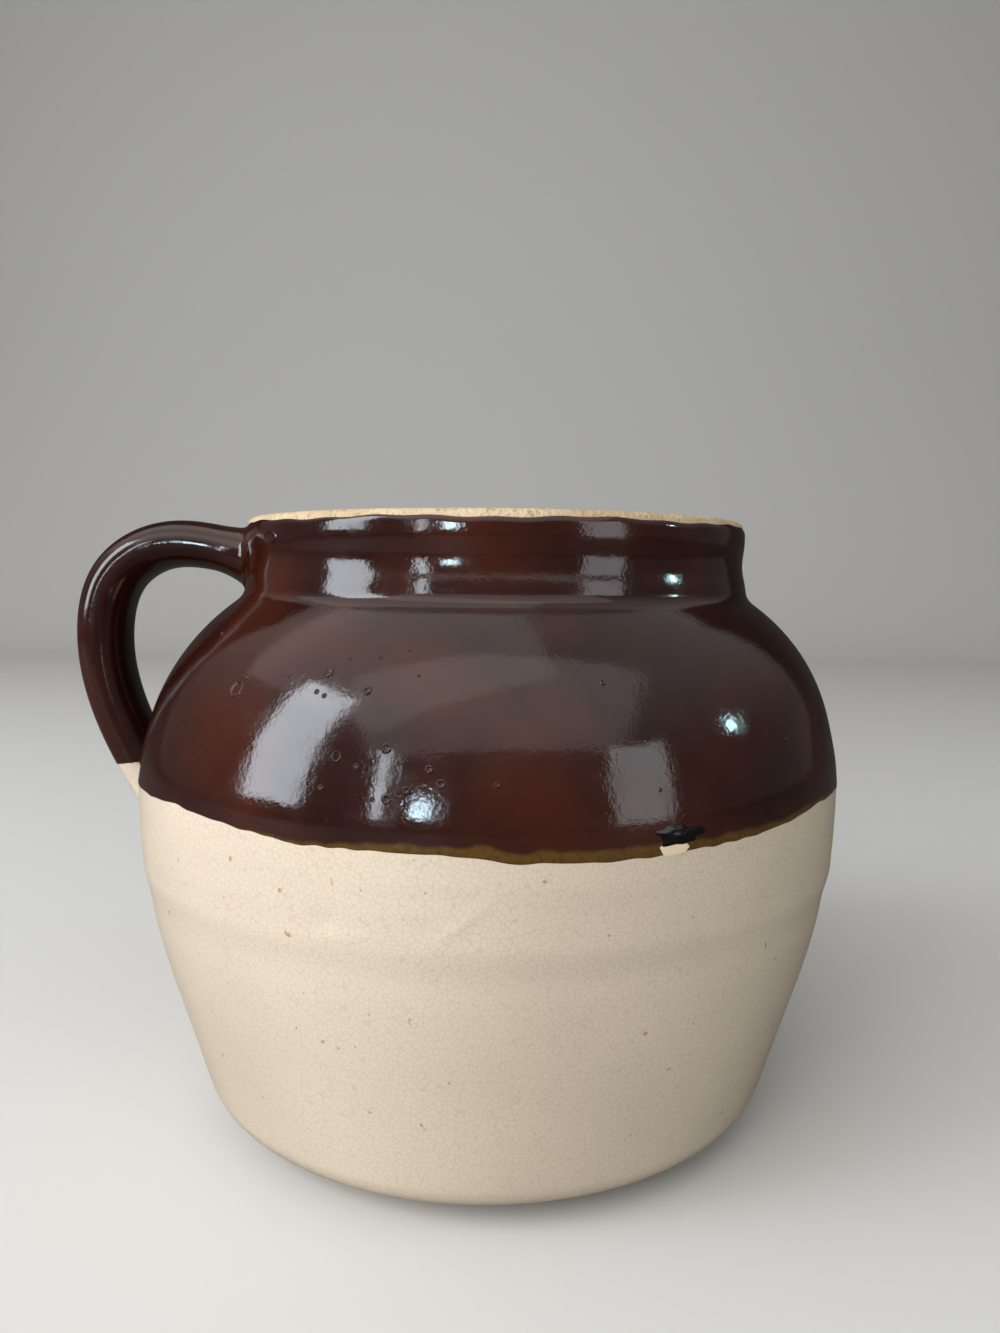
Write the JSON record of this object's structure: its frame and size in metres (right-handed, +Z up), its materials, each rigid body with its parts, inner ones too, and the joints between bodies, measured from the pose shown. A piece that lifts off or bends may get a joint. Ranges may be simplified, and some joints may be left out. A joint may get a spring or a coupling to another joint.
{
  "type": "bean pot",
  "caption": "Squat round stoneware bean pot with a short open collar and one strap handle, glazed dark brown above and cream below.",
  "frame": {"origin": "on the pot's axis, at the plane of the flat foot that it stands on", "axes": "+Z up along the pot's axis, out of the mouth; the handle points along -X; the picture looks along +Y"},
  "size_m": [0.228, 0.204, 0.1721],
  "materials": {
    "bare_clay": "matte",
    "brown_glaze": "gloss",
    "cream_glaze": "satin"
  },
  "bodies": {
    "root": {"lower_body": "bare_clay", "upper_body": "bare_clay", "handle": "bare_clay", "handle_upper_luting": "brown_glaze", "handle_lower_luting": "cream_glaze", "brown_glaze": "brown_glaze", "cream_glaze": "cream_glaze", "handle_brown_glaze": "brown_glaze", "handle_cream_glaze": "cream_glaze", "lining_glaze": "brown_glaze"}
  },
  "joints": []
}
